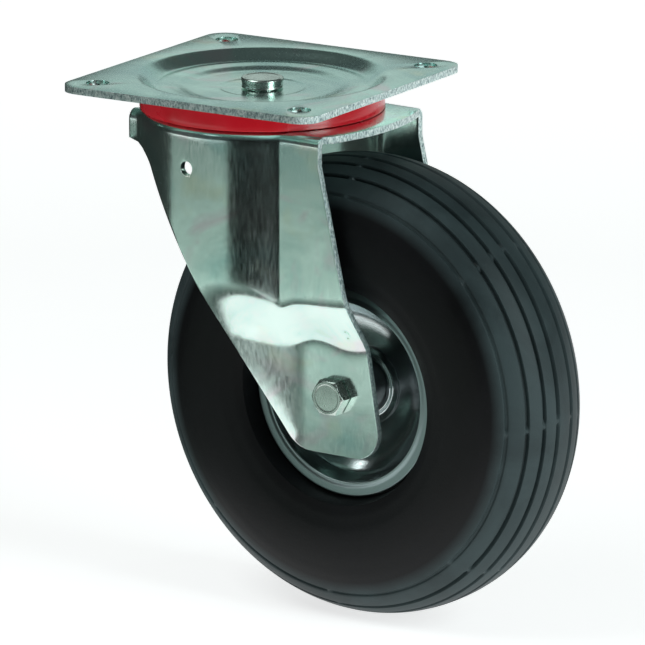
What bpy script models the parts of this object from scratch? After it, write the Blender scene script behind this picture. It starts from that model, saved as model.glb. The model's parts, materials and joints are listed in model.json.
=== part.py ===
"""Plate-mounted swivel castor with an air-filled wheel.

Metres, +Z up. The origin is on the swivel axis, at the top plane of the mounting plate.
The wheel trails towards +X. Everything under the swivel is built square to the axes and
turned by its parent, the empty on the swivel axis. The axle's bolt head is on the -Y side.
"""

import math

import bmesh
import bpy
from mathutils import Vector

# Driving dimensions, in metres
GAP = 0.0003               # clearance between pieces that touch
AXLE_DROP = 0.166          # plate top to axle
TRAIL = 0.0745             # swivel axis to axle
SWIVEL_TURN = math.radians(-4)   # the fork rests a little off square to the plate

PLATE_X = 0.1640
PLATE_Y = 0.1675
PLATE_THICK = 0.004
PLATE_CORNER = 0.012
BOWL_R = 0.071             # lip of the pressed bowl in the plate
BOWL_DEPTH = 0.0072
LEDGE_R = 0.059            # outer edge of the ring-shaped ledge in the bowl
LEDGE_IN_R = 0.050
LEDGE_DEPTH = 0.0055
FLOOR_R = 0.040
BOLT_HOLE_R = 0.0065
BOLT_HOLE_X = 0.0657
BOLT_HOLE_Y = 0.0670

KING_R = 0.008             # king bolt shank
KING_HEAD_R = 0.0120       # its round head
KING_HEAD = 0.0055
KING_NUT_FLATS = 0.024
SHELF_Z = -0.0180          # top of the fork's crown
SHEET = 0.004              # thickness of the fork's steel
CROWN_HOLE_R = 0.0145
SHOULDER_R = 0.0055
SEAL_R = 0.0685
SEAL_IN_R = 0.0635

SKIRT_R = 0.0690           # outer face of the curved front of each leg
LEG_Y = 0.050              # outer face of the flat rear of each leg
PAD_Y = 0.035              # outer face of the axle pad
LEG_TOP_Z = -0.034
CREASE_Z = -0.1125         # where the legs start to slant in
CREASE_FRONT_X = 0.0085
PAD_TOP_Z = -0.137
LEG_END_Z = -0.200
LEG_END_R = 0.015
REAR_BULGE = 0.0105        # how far the crown's rear edge bows out
PAD_FRONT_X = 0.054
LOCK_HOLE_R = 0.004
LOCK_HOLE_X = -0.0018
LOCK_HOLE_Z = -0.0412

AXLE_R = 0.006             # axle bolt shank
AXLE_FLATS = 0.019
AXLE_HEAD = 0.0078
SLEEVE_R = 0.010
SLEEVE_HALF = 0.0280
HUB_R = 0.0145
HUB_BORE_R = 0.0125
HUB_HALF = 0.0265

RIM_R = 0.0595             # outer edge of the rim flange
RIM_HALF = 0.0265          # outer face of the rim flange
RIM_SHEET = 0.0022
TYRE_R = 0.130
TYRE_HALF = 0.0400
BEAD_R = 0.0535
VALVE_ANGLE = math.radians(250)
VALVE_R = 0.0400           # distance of the valve's straight end from the axle

BALL_ROW_R = 0.0545
BALL_R = 0.0039
LOWER_ROW_R = 0.0235
LOWER_BALL_R = 0.0033
RACE_R = 0.0300

BALL_COUNT = 14
LOWER_BALL_COUNT = 8
RACE_THICK = 0.0035
KING_NUT = 0.0105          # height of the king bolt's nut
KING_SLEEVE_R = 0.0115
AXLE_NUT = 0.0095          # height of the axle bolt's nut
AXLE_TAIL = 0.0125         # how far the axle bolt stands out past the far pad
SHANK_ROOT = 0.002         # how far a shank reaches into its bolt's head
WASHER_R = 0.0120
WASHER_THICK = 0.0020
ROLLER_LOW = 0.010         # the rollers' two ends, along the axle
ROLLER_HIGH = 0.024
ROLLER_COUNT = 8
HUB_SEAL_THICK = 0.002
TUBE_MID_R = 0.0860        # middle of the air tube's section, from the axle
TUBE_R = 0.0300
TUBE_WALL = 0.0022
TUBE_MOUTH_R = 0.0565
VALVE_STEM_R = 0.0036
VALVE_END = 0.0190         # where the valve's stem ends, along the axle
VALVE_CAP_R = 0.0044
VALVE_CAP_LENGTH = 0.0090

# Finishes: colour, roughness, metallic
ZINC = ((0.45, 0.56, 0.53), 0.35, 1.0)
BOLT_ZINC = ((0.62, 0.66, 0.62), 0.3, 1.0)
BEARING_STEEL = ((0.6, 0.6, 0.6), 0.25, 1.0)
RIM_STEEL = ((0.35, 0.38, 0.38), 0.15, 1.0)
RED_SEAL = ((0.8, 0.02, 0.02), 0.3, 0.0)
BLACK_PLASTIC = ((0.03, 0.03, 0.03), 0.5, 0.0)
TYRE_RUBBER = ((0.02, 0.022, 0.024), 0.6, 0.0)
TUBE_RUBBER = ((0.03, 0.03, 0.03), 0.7, 0.0)
COLLECTION = "swivel_castor"


# ---------------------------------------------------------------- helpers

def clear_scene():
    for obj in list(bpy.data.objects):
        bpy.data.objects.remove(obj, do_unlink=True)


def collection(name):
    made = bpy.data.collections.new(name)
    bpy.context.scene.collection.children.link(made)
    return made


def material(name, colour, roughness, metallic):
    made = bpy.data.materials.new(name)
    made.use_nodes = True
    shader = made.node_tree.nodes["Principled BSDF"]
    shader.inputs["Base Color"].default_value = (*colour, 1.0)
    shader.inputs["Roughness"].default_value = roughness
    shader.inputs["Metallic"].default_value = metallic
    return made


def add_object(name, mesh, target, finish=None, parent=None):
    obj = bpy.data.objects.new(name, mesh)
    target.objects.link(obj)
    if finish is not None:
        mesh.materials.append(material(name + "_finish", *finish))
    if parent is not None:
        obj.parent = parent
    return obj


def mesh_from(name, build):
    """A mesh made by build(bm)."""
    bm = bmesh.new()
    build(bm)
    mesh = bpy.data.meshes.new(name)
    bm.to_mesh(mesh)
    bm.free()
    return mesh


def smooth(obj, degrees=35):
    obj.data.shade_smooth()
    obj.data.set_sharp_from_angle(angle=math.radians(degrees))


def turned(name, points, closed, steps, target, finish=None, parent=None):
    """A turned solid: (radius, height) points that run down the outer side."""
    mesh = bpy.data.meshes.new(name)
    verts = [(r, 0.0, h) for r, h in points]
    edges = [(i, i + 1) for i in range(len(points) - 1)]
    if closed:
        edges.append((len(points) - 1, 0))
    mesh.from_pydata(verts, edges, [])
    obj = add_object(name, mesh, target, finish, parent)
    screw = obj.modifiers.new("Turn", "SCREW")
    screw.axis = "Z"
    screw.angle = math.tau
    screw.steps = screw.render_steps = steps
    screw.use_merge_vertices = True
    screw.merge_threshold = 0.00001
    screw.use_smooth_shade = True
    return obj


def along_axle(obj):
    """Turns an object's own +Z to the near side, -Y. Its parent is on the axle."""
    obj.rotation_euler = (math.pi / 2, 0, 0)
    return obj


def ring(r_in, r_out, low, high):
    """Closed profile of a plain ring."""
    return [(r_in, high), (r_out, high), (r_out, low), (r_in, low)]


def rod(radius, low, high):
    """Open profile of a plain rod, from the middle of its top to the middle of its foot."""
    return [(0, high), (radius, high), (radius, low), (0, low)]


def mirrored(points):
    """The same closed profile on the other side of the wheel, still running the right way."""
    return [(r, -h) for r, h in reversed(points)]


def cutter(name, radius, depth, location, rotation, target):
    mesh = mesh_from(name, lambda bm: bmesh.ops.create_cone(
        bm, cap_ends=True, segments=24, radius1=radius, radius2=radius, depth=depth))
    obj = add_object(name, mesh, target)
    obj.location = location
    obj.rotation_euler = rotation
    obj.hide_render = True
    obj.display_type = "WIRE"
    return obj


def boolean(obj, other, operation="DIFFERENCE"):
    cut = obj.modifiers.new(operation.title(), "BOOLEAN")
    cut.operation = operation
    cut.solver = "EXACT"
    cut.object = other
    return cut


def hex_prism(bm, flats, low, high):
    """A hexagonal prism along Z, between two heights."""
    made = bmesh.ops.create_cone(
        bm, cap_ends=True, segments=6, radius1=flats / math.sqrt(3),
        radius2=flats / math.sqrt(3), depth=high - low)
    bmesh.ops.translate(bm, verts=made["verts"], vec=(0, 0, (low + high) / 2))


def lerp(a, b, t):
    return a + (b - a) * t


def ease(t):
    t = min(max(t, 0.0), 1.0)
    return t * t * (3 - 2 * t)


# ---------------------------------------------------------------- mounting plate

def bowl_height(r):
    """Height of the plate's top face at a distance from the swivel axis."""
    if r >= LEDGE_R:
        return -LEDGE_DEPTH * (1 - ease((r - LEDGE_R) / (BOWL_R - LEDGE_R)))
    if r >= LEDGE_IN_R:
        return -LEDGE_DEPTH
    return lerp(-BOWL_DEPTH, -LEDGE_DEPTH, ease((r - FLOOR_R) / (LEDGE_IN_R - FLOOR_R)))


def rounded_edge(angle):
    """Point on the plate's rounded rectangle, in one direction from the centre."""
    half_x, half_y = PLATE_X / 2, PLATE_Y / 2
    direction = Vector((math.cos(angle), math.sin(angle)))
    reach = min(half_x / max(abs(direction.x), 1e-9), half_y / max(abs(direction.y), 1e-9))
    point = direction * reach
    centre = Vector((math.copysign(half_x - PLATE_CORNER, point.x),
                     math.copysign(half_y - PLATE_CORNER, point.y)))
    if abs(point.x) > abs(centre.x) and abs(point.y) > abs(centre.y):
        across = direction.dot(centre)
        root = math.sqrt(max(across ** 2 - centre.length_squared + PLATE_CORNER ** 2, 0.0))
        point = direction * (across + root)
    return point


def make_top_plate(parts, cutters):
    """Pressed steel plate: a ring-by-ring surface from the king bolt's hole to the edge."""
    spokes = 48
    radii = [KING_R + GAP, FLOOR_R, 0.0450, LEDGE_IN_R, LEDGE_R, 0.0630, 0.0670, BOWL_R]

    def build(bm):
        rows = []
        for r in radii:
            rows.append([bm.verts.new((r * math.cos(a), r * math.sin(a), bowl_height(r)))
                         for a in (math.tau * i / spokes for i in range(spokes))])
        edge = [rounded_edge(math.tau * i / spokes) for i in range(spokes)]
        rows.append([bm.verts.new((p.x, p.y, 0.0)) for p in edge])
        for inner, outer in zip(rows, rows[1:]):
            for i in range(spokes):
                j = (i + 1) % spokes
                bm.faces.new((inner[i], outer[i], outer[j], inner[j]))

    plate = add_object("top_plate", mesh_from("top_plate", build), parts, ZINC)
    solid = plate.modifiers.new("Thickness", "SOLIDIFY")
    solid.thickness = PLATE_THICK
    solid.offset = -1.0
    for i, (sx, sy) in enumerate(((1, 1), (-1, 1), (-1, -1), (1, -1))):
        place = (sx * BOLT_HOLE_X, sy * BOLT_HOLE_Y, 0)
        boolean(plate, cutter(f"bolt_hole_{i + 1}", BOLT_HOLE_R, 0.03, place, (0, 0, 0), cutters))
    smooth(plate, 30)


def make_king_pin(parts):
    """Round-headed king bolt, its sleeve, the lower race and the nut under the crown."""
    floor_low = -BOWL_DEPTH - PLATE_THICK
    head_low = -BOWL_DEPTH + GAP
    race_top = SHELF_Z - SHEET - 2 * LOWER_BALL_R - 2 * GAP
    race_low = race_top - RACE_THICK
    nut_low = race_low - GAP - KING_NUT

    head_top = head_low + KING_HEAD
    chamfer = 0.0008
    outline = [(0, head_top), (KING_HEAD_R - chamfer, head_top), (KING_HEAD_R, head_top - chamfer),
               (KING_HEAD_R, head_low), (KING_R, head_low), (KING_R, nut_low - SHANK_ROOT),
               (0, nut_low - SHANK_ROOT)]
    turned("king_bolt", outline, False, 32, parts, BOLT_ZINC)
    turned("king_sleeve", ring(KING_R + GAP, KING_SLEEVE_R, race_top + GAP, floor_low - GAP),
           True, 16, parts, BEARING_STEEL)
    turned("lower_race", ring(KING_R + GAP, RACE_R, race_low, race_top), True, 24, parts, ZINC)

    def nut(bm):
        hex_prism(bm, KING_NUT_FLATS, nut_low, race_low - GAP)

    nut_obj = add_object("king_nut", mesh_from("king_nut", nut), parts, ZINC)
    hole = turned("king_nut_hole", rod(KING_R + GAP, nut_low - KING_NUT, race_low + KING_NUT),
                  False, 24, parts)
    cut_away(nut_obj, hole)


def apply_and_drop(obj, other):
    """Bakes obj's Boolean with other into obj's mesh, and removes other."""
    bpy.context.view_layer.update()
    done = obj.evaluated_get(bpy.context.evaluated_depsgraph_get())
    mesh = bpy.data.meshes.new_from_object(done)
    obj.modifiers.clear()
    obj.data = mesh
    bpy.data.objects.remove(other, do_unlink=True)


def join_union(obj, other):
    boolean(obj, other, "UNION")
    apply_and_drop(obj, other)
    smooth(obj)


def cut_away(obj, other):
    boolean(obj, other, "DIFFERENCE")
    apply_and_drop(obj, other)
    smooth(obj)


def make_ball_row(name, row_r, ball_r, centre_z, count, parts):
    """A row of balls joined by their thin cage ring."""
    cage = ball_r * 0.35
    obj = turned(name, ring(row_r - ball_r * 0.6, row_r + ball_r * 0.6,
                            centre_z - cage, centre_z + cage), True, 24, parts)

    def balls(bm):
        for i in range(count):
            angle = math.tau * i / count
            made = bmesh.ops.create_uvsphere(bm, u_segments=6, v_segments=4, radius=ball_r)
            bmesh.ops.translate(bm, verts=made["verts"],
                                vec=(row_r * math.cos(angle), row_r * math.sin(angle), centre_z))

    spheres = add_object(name + "_balls", mesh_from(name + "_balls", balls), parts)
    join_union(obj, spheres)
    obj.data.materials.clear()
    obj.data.materials.append(material(name + "_finish", *BEARING_STEEL))


# ---------------------------------------------------------------- fork

def front_x(z):
    """Front edge of a leg, seen from the side. It flares out under the crown."""
    if z > CREASE_Z:
        straight = lerp(-0.0393, CREASE_FRONT_X, (LEG_TOP_Z - z) / (LEG_TOP_Z - CREASE_Z))
        flare = 1 - min((LEG_TOP_Z - z) / 0.014, 1.0)
        return straight - 0.016 * flare ** 3
    return lerp(CREASE_FRONT_X, 0.0482, (CREASE_Z - z) / (CREASE_Z - LEG_END_Z))


def rear_x(z):
    """Rear edge of a leg, seen from the side."""
    if z > CREASE_Z:
        return lerp(0.0738, 0.0918, (LEG_TOP_Z - z) / (LEG_TOP_Z - CREASE_Z))
    return lerp(0.0918, 0.1062, (CREASE_Z - z) / (CREASE_Z - LEG_END_Z))


def upper_y(x):
    """Half-width of the fork above the crease: a round front that meets a flat rear."""
    bulge = math.sqrt(max(SKIRT_R ** 2 - x ** 2, 0.0))
    blend = 0.002
    return LEG_Y + math.sqrt((bulge - LEG_Y) ** 2 + blend ** 2) / 2 + (bulge - LEG_Y) / 2


def crease_z(x):
    """Height of the crease, where the leg starts to slant in. It climbs a little to the rear."""
    return CREASE_Z + 0.09 * (x - 0.070)


def half_width(x, z):
    """Half-width of the fork's outer face at a place seen from the side."""
    down = (crease_z(x) - z) / (crease_z(x) - PAD_TOP_Z)
    low = max(PAD_Y, lerp(LEG_Y, PAD_Y, down))
    skirt_y = upper_y(CREASE_FRONT_X)
    front_y = max(lerp(skirt_y, PAD_Y, (CREASE_Z - z) / (CREASE_Z - LEG_END_Z - 0.004)), PAD_Y)
    side = max((PAD_FRONT_X - x) / (PAD_FRONT_X - front_x(z)), 0.0)
    return min(upper_y(x), lerp(low, front_y, side))


def section_columns(front, leg, rear):
    """Plan positions round the crown's near half: (x, y, outward normal, kind)."""
    columns = []
    top_x = front_x(LEG_TOP_Z)
    start = math.atan2(-upper_y(top_x), top_x)
    for i in range(front):
        angle = lerp(-math.pi, start, i / front)
        normal = Vector((math.cos(angle), math.sin(angle)))
        columns.append((normal * SKIRT_R, normal, "band"))
    for i in range(leg + 1):
        x = lerp(top_x, rear_x(LEG_TOP_Z), i / leg)
        step = 0.0005
        slope = Vector((2 * step, -(upper_y(x + step) - upper_y(x - step))))
        columns.append((Vector((x, -upper_y(x))), Vector((slope.y, -slope.x)).normalized(), "leg"))
    corner = columns[-1][0]
    for i in range(1, rear + 1):
        y = lerp(corner.y + SHOULDER_R, 0.0, i / rear)
        x = corner.x + REAR_BULGE * (1 - (y / corner.y) ** 2)
        columns.append((Vector((x, y)), Vector((1, 0)), "rear"))
    return columns


def column_points(place, normal, kind, part, shelf_steps=2, shoulder_steps=2, leg_steps=14):
    """Points down one column of the pressed sheet, from the king bolt's hole outwards."""
    inward = place - normal * SHOULDER_R if kind != "rear" else place
    hole = inward.normalized() * CROWN_HOLE_R
    points = [(*hole.lerp(inward, i / shelf_steps), SHELF_Z) for i in range(shelf_steps + 1)]
    if kind == "rear":
        return points
    for i in range(1, shoulder_steps + 1):
        turn = math.pi / 2 * i / shoulder_steps
        out = inward + normal * SHOULDER_R * math.sin(turn)
        points.append((*out, SHELF_Z - SHOULDER_R * (1 - math.cos(turn))))
    points.append((*place, LEG_TOP_Z))
    if kind == "leg":
        for i in range(1, leg_steps + 1):
            z = lerp(LEG_TOP_Z, LEG_END_Z, i / leg_steps)
            x = lerp(front_x(z), rear_x(z), part)
            points.append((x, -half_width(x, z), z))
    return points


def round_the_ends(bm):
    """Rounds the two lower corners of each leg, in the side view."""
    radius = LEG_END_R
    corners = ((front_x(LEG_END_Z + radius), 1), (rear_x(LEG_END_Z + radius), -1))
    for vert in bm.verts:
        for x, inwards in corners:
            centre = Vector((x + inwards * radius, LEG_END_Z + radius))
            offset = Vector((vert.co.x - centre.x, vert.co.z - centre.y))
            if offset.x * inwards < 0 and offset.y < 0 and offset.length > radius:
                offset = offset.normalized() * radius
                vert.co.x, vert.co.z = centre.x + offset.x, centre.y + offset.y


def make_fork(parts, cutters, swivel):
    """Fork pressed from one sheet: round crown, curved front, flat axle pads."""
    front, leg, rear = 5, 12, 4
    near = section_columns(front, leg, rear)
    parts_along = [0.0] * front + [i / leg for i in range(leg + 1)] + [1.0] * rear

    def build(bm):
        columns = []
        for (place, normal, kind), part in zip(near, parts_along):
            columns.append([bm.verts.new(p) for p in column_points(place, normal, kind, part)])
        for (place, normal, kind), part in list(zip(near, parts_along))[-2:0:-1]:
            points = column_points(place, normal, kind, part)
            columns.append([bm.verts.new((x, -y, z)) for x, y, z in points])
        for i, column in enumerate(columns):
            other = columns[(i + 1) % len(columns)]
            for j in range(min(len(column), len(other)) - 1):
                bm.faces.new((column[j], column[j + 1], other[j + 1], other[j]))
        round_the_ends(bm)
        bmesh.ops.recalc_face_normals(bm, faces=bm.faces)
        if sum(f.normal.z for f in bm.faces if f.calc_center_median().z > SHELF_Z - 0.0001) < 0:
            bmesh.ops.reverse_faces(bm, faces=bm.faces)

    fork = add_object("fork", mesh_from("fork", build), parts, ZINC, swivel)
    solid = fork.modifiers.new("Thickness", "SOLIDIFY")
    solid.thickness = SHEET
    solid.offset = -1.0
    solid.use_even_offset = True
    across = (math.pi / 2, 0, 0)
    for name, radius, place in (("axle_hole", AXLE_R + GAP, (TRAIL, 0, -AXLE_DROP)),
                                ("lock_hole", LOCK_HOLE_R, (LOCK_HOLE_X, 0, LOCK_HOLE_Z))):
        hole = cutter(name, radius, 0.2, place, across, cutters)
        hole.parent = swivel
        boolean(fork, hole)
    smooth(fork, 30)


def make_dust_seal(parts, swivel):
    """Red ring that closes the gap between the plate and the crown. Its top slopes inwards."""
    low = SHELF_Z + GAP
    high = -PLATE_THICK - 0.0030
    points = [(SEAL_IN_R, high - 0.0022), (SEAL_R - 0.0012, high), (SEAL_R, low + 0.002),
              (SEAL_R, low), (SEAL_IN_R, low)]
    turned("dust_seal", points, True, 40, parts, RED_SEAL, swivel)


# ---------------------------------------------------------------- axle and wheel

def make_axle(parts, axle):
    """Axle bolt and nut, washers, and the sleeve that the wheel turns on."""
    pad_out = PAD_Y + GAP
    bolt = add_object("axle_bolt", mesh_from(
        "axle_bolt", lambda bm: hex_prism(bm, AXLE_FLATS, pad_out, pad_out + AXLE_HEAD)),
        parts, BOLT_ZINC, axle)
    shank = turned("axle_shank", rod(AXLE_R, -pad_out - AXLE_TAIL, pad_out + SHANK_ROOT),
                   False, 24, parts, None, axle)
    join_union(bolt, shank)
    along_axle(bolt)
    washer = ring(AXLE_R + GAP, WASHER_R, -pad_out - WASHER_THICK, -pad_out)
    along_axle(turned("axle_washer", washer, True, 16, parts, ZINC, axle))
    nut_high = -pad_out - WASHER_THICK - GAP
    nut_low = nut_high - AXLE_NUT
    nut = add_object("axle_nut", mesh_from(
        "axle_nut", lambda bm: hex_prism(bm, AXLE_FLATS, nut_low, nut_high)),
        parts, ZINC, axle)
    hole = turned("axle_nut_hole", rod(AXLE_R + GAP, nut_low - AXLE_NUT, nut_high + AXLE_NUT),
                  False, 24, parts, None, axle)
    cut_away(nut, hole)
    along_axle(nut)
    along_axle(turned("axle_sleeve", ring(AXLE_R + GAP, SLEEVE_R, -SLEEVE_HALF, SLEEVE_HALF),
                      True, 24, parts, BEARING_STEEL, axle))
    spacer = ring(AXLE_R + GAP, WASHER_R, SLEEVE_HALF + GAP, PAD_Y - SHEET - GAP)
    for name, profile in (("spacer_near", spacer), ("spacer_far", mirrored(spacer))):
        along_axle(turned(name, profile, True, 16, parts, BEARING_STEEL, axle))


def make_roller_cage(name, side, parts, axle):
    """Needle-type cage: a thin ring with its rollers, between sleeve and hub tube."""
    wall = 0.0008
    profile = ring(SLEEVE_R + wall, HUB_BORE_R - wall, ROLLER_LOW, ROLLER_HIGH)
    cage = turned(name, profile if side > 0 else mirrored(profile), True, 20, parts, None, axle)
    radius = (HUB_BORE_R - SLEEVE_R) / 2 - GAP / 2
    centre = (HUB_BORE_R + SLEEVE_R) / 2

    def rollers(bm):
        middle = side * (ROLLER_LOW + ROLLER_HIGH) / 2
        for i in range(ROLLER_COUNT):
            angle = math.tau * i / ROLLER_COUNT
            made = bmesh.ops.create_cone(bm, cap_ends=True, segments=6, radius1=radius,
                                         radius2=radius, depth=ROLLER_HIGH - ROLLER_LOW - 0.002)
            place = (centre * math.cos(angle), centre * math.sin(angle), middle)
            bmesh.ops.translate(bm, verts=made["verts"], vec=place)

    pins = add_object(name + "_rollers", mesh_from(name + "_rollers", rollers), parts, None, axle)
    join_union(cage, pins)
    cage.data.materials.clear()
    cage.data.materials.append(material(name + "_finish", *BEARING_STEEL))
    along_axle(cage)


def make_hub(parts, axle):
    along_axle(turned("hub_tube", ring(HUB_BORE_R, HUB_R, -HUB_HALF, HUB_HALF), True, 32,
                      parts, RIM_STEEL, axle))
    seal = ring(SLEEVE_R + GAP, HUB_BORE_R - GAP, HUB_HALF - HUB_SEAL_THICK, HUB_HALF)
    for name, profile in (("hub_seal_near", seal), ("hub_seal_far", mirrored(seal))):
        along_axle(turned(name, profile, True, 16, parts, BLACK_PLASTIC, axle))


def rim_profile():
    """Near rim half, as a closed profile: outer face first, then the tyre side."""
    face = [(HUB_R + GAP, 0.0042), (0.0250, 0.0042), (0.0330, 0.0055), (0.0410, 0.0090),
            (0.0465, 0.0145), (0.0495, 0.0200), (0.0515, RIM_HALF), (RIM_R - 0.001, RIM_HALF)]
    back = [(RIM_R, RIM_HALF - 0.001), (RIM_R - 0.001, RIM_HALF - RIM_SHEET),
            (0.0530, RIM_HALF - RIM_SHEET - 0.0006), (0.0515, 0.0190), (0.0480, 0.0128),
            (0.0420, 0.0070), (0.0330, 0.0032), (0.0250, GAP / 2), (HUB_R + GAP, GAP / 2)]
    return face + back


def make_rim(parts, cutters, axle):
    near = rim_profile()
    along_axle(turned("rim_near", near, True, 32, parts, RIM_STEEL, axle))
    far = along_axle(turned("rim_far", mirrored(near), True, 32, parts, RIM_STEEL, axle))
    hole = cutter("valve_hole", VALVE_CAP_R, 0.020, valve_place(0.010), (math.pi / 2, 0, 0), cutters)
    hole.parent = axle
    boolean(far, hole)


def valve_place(y):
    return (VALVE_R * math.cos(VALVE_ANGLE), y, VALVE_R * math.sin(VALVE_ANGLE))


def tyre_profile():
    """C-shaped section, open towards the rim: outer surface first, then the inside."""
    outer = []
    arc = 12
    for i in range(arc + 1):
        turn = lerp(0.66, -0.66, i / arc) * math.pi
        c, s = math.cos(turn), math.sin(turn)
        h = TYRE_HALF * math.copysign(abs(s) ** 0.87, s)
        r = 0.086 + (TYRE_R - 0.086) * math.copysign(abs(c) ** 0.87, c)
        outer.append((max(r, RIM_R + GAP), h))
    bead_high = RIM_HALF - RIM_SHEET - 0.0012
    start = [(BEAD_R, bead_high - 0.009), (BEAD_R, bead_high), (RIM_R + GAP, bead_high)]
    inner = []
    for i in range(8):
        turn = lerp(-0.62, 0.62, i / 7) * math.pi
        inner.append((0.087 + 0.0345 * math.cos(turn), 0.0330 * math.sin(turn)))
    return start + outer + [(r, -h) for r, h in reversed(start)] + inner


def make_tyre(parts, axle):
    along_axle(turned("tyre", tyre_profile(), True, 40, parts, TYRE_RUBBER, axle))


def make_inner_tube(parts, cutters, axle):
    """Air tube inside the tyre. Its hollow opens at the valve."""
    def circle(size):
        return [(TUBE_MID_R + size * math.cos(t), -size * math.sin(t))
                for t in (math.tau * i / 8 for i in range(8))]

    tube = along_axle(turned("inner_tube", circle(TUBE_R), True, 24, parts, TUBE_RUBBER, axle))
    hollow = along_axle(turned("tube_hollow", circle(TUBE_R - TUBE_WALL), True, 24, cutters,
                               None, axle))
    hollow.hide_render = True
    hollow.display_type = "WIRE"
    boolean(tube, hollow)
    mouth_place = (TUBE_MOUTH_R * math.cos(VALVE_ANGLE), 0, TUBE_MOUTH_R * math.sin(VALVE_ANGLE))
    toward_axle = (0, math.pi / 2 - VALVE_ANGLE, 0)
    mouth = cutter("tube_mouth", 0.0030, 0.012, mouth_place, toward_axle, cutters)
    mouth.parent = axle
    boolean(tube, mouth)


def make_valve(parts, axle):
    """Angled valve: in from the tube, then out through the far rim half, with a cap on its end."""
    route = [(0.0554, 0.0015), (0.0455, 0.0020), (0.0420, 0.0040), (VALVE_R, 0.0080),
             (VALVE_R, VALVE_END)]
    curve = bpy.data.curves.new("valve_stem", "CURVE")
    curve.dimensions = "3D"
    curve.bevel_depth = VALVE_STEM_R
    curve.bevel_resolution = 2
    curve.use_fill_caps = True
    spline = curve.splines.new("POLY")
    spline.points.add(len(route) - 1)
    for point, (r, y) in zip(spline.points, route):
        point.co = (r * math.cos(VALVE_ANGLE), y, r * math.sin(VALVE_ANGLE), 1.0)
    add_object("valve_stem", curve, parts, TUBE_RUBBER, axle)
    high = -VALVE_END - GAP
    low = high - VALVE_CAP_LENGTH
    chamfer = 0.0008
    profile = [(0, high), (VALVE_CAP_R, high), (VALVE_CAP_R, low + chamfer),
               (VALVE_CAP_R - chamfer, low), (0, low)]
    cap = turned("valve_cap", profile, False, 16, parts, BLACK_PLASTIC, axle)
    along_axle(cap)
    cap.location = valve_place(0.0)


def main():
    clear_scene()
    parts = collection(COLLECTION)
    cutters = collection("cutters")
    swivel = bpy.data.objects.new("swivel_axis", None)
    axle = bpy.data.objects.new("wheel_axis", None)
    for empty in (swivel, axle):
        parts.objects.link(empty)
    axle.location = (TRAIL, 0, -AXLE_DROP)
    axle.parent = swivel
    swivel.rotation_euler = (0, 0, SWIVEL_TURN)

    make_top_plate(parts, cutters)
    make_king_pin(parts)
    upper_centre = (-LEDGE_DEPTH - PLATE_THICK + SHELF_Z) / 2
    make_ball_row("upper_ball_row", BALL_ROW_R, BALL_R, upper_centre, BALL_COUNT, parts)
    lower_centre = SHELF_Z - SHEET - GAP - LOWER_BALL_R
    make_ball_row("lower_ball_row", LOWER_ROW_R, LOWER_BALL_R, lower_centre, LOWER_BALL_COUNT, parts)
    make_fork(parts, cutters, swivel)
    make_dust_seal(parts, swivel)
    make_axle(parts, axle)
    make_roller_cage("roller_cage_near", 1, parts, axle)
    make_roller_cage("roller_cage_far", -1, parts, axle)
    make_hub(parts, axle)
    make_rim(parts, cutters, axle)
    make_tyre(parts, axle)
    make_inner_tube(parts, cutters, axle)
    make_valve(parts, axle)


main()
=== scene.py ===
import json
import math

import bmesh
import bpy
from mathutils import Matrix, Vector


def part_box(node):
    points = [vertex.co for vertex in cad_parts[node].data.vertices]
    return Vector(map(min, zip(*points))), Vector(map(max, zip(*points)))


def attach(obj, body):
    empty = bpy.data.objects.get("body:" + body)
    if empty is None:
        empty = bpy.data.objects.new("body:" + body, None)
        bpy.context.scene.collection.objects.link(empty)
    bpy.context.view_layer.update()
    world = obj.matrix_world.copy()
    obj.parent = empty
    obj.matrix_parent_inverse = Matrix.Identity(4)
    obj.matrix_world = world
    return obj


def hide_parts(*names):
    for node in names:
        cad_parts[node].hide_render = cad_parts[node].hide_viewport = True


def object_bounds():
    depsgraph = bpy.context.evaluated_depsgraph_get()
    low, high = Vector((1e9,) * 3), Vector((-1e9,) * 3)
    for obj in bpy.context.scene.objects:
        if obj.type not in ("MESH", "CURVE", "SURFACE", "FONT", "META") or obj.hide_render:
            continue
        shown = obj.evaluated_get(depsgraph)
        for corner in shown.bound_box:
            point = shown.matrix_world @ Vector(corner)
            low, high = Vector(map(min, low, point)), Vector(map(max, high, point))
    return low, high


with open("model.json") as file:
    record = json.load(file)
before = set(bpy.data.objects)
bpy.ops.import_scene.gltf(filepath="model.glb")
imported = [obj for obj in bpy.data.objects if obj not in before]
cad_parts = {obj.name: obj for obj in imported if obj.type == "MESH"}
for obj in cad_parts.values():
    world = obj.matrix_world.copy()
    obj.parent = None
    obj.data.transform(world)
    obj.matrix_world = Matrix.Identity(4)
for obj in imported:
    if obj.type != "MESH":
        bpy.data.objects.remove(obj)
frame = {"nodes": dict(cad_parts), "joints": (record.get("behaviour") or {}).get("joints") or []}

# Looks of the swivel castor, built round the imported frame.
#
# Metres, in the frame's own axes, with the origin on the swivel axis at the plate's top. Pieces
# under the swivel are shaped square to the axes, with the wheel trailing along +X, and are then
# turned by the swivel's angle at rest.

cad_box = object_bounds()

# Places, read from the frame
spin = next(j for j in frame["joints"] if j["name"] == "wheel_spin")
AXLE = Vector(spin["pos_m"])
TURN = math.atan2(-spin["axis"][0], spin["axis"][1])
TRAIL = math.hypot(AXLE.x, AXLE.y)
AXLE_DROP = -AXLE.z
PLATE_HALF_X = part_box("top_plate")[1].x
PLATE_HALF_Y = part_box("top_plate")[1].y
FLOOR_Z = cad_box[0].z

SWIVEL = Matrix.Rotation(TURN, 4, "Z")
# Turned pieces of the wheel have their own +Z along the axle, towards the bolt's head
WHEEL = SWIVEL @ Matrix.Translation((TRAIL, 0, -AXLE_DROP)) @ Matrix.Rotation(math.pi / 2, 4, "X")
TURN_ROUND = Matrix.Rotation(math.pi, 4, "X")     # gives the far side its own copy

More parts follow.
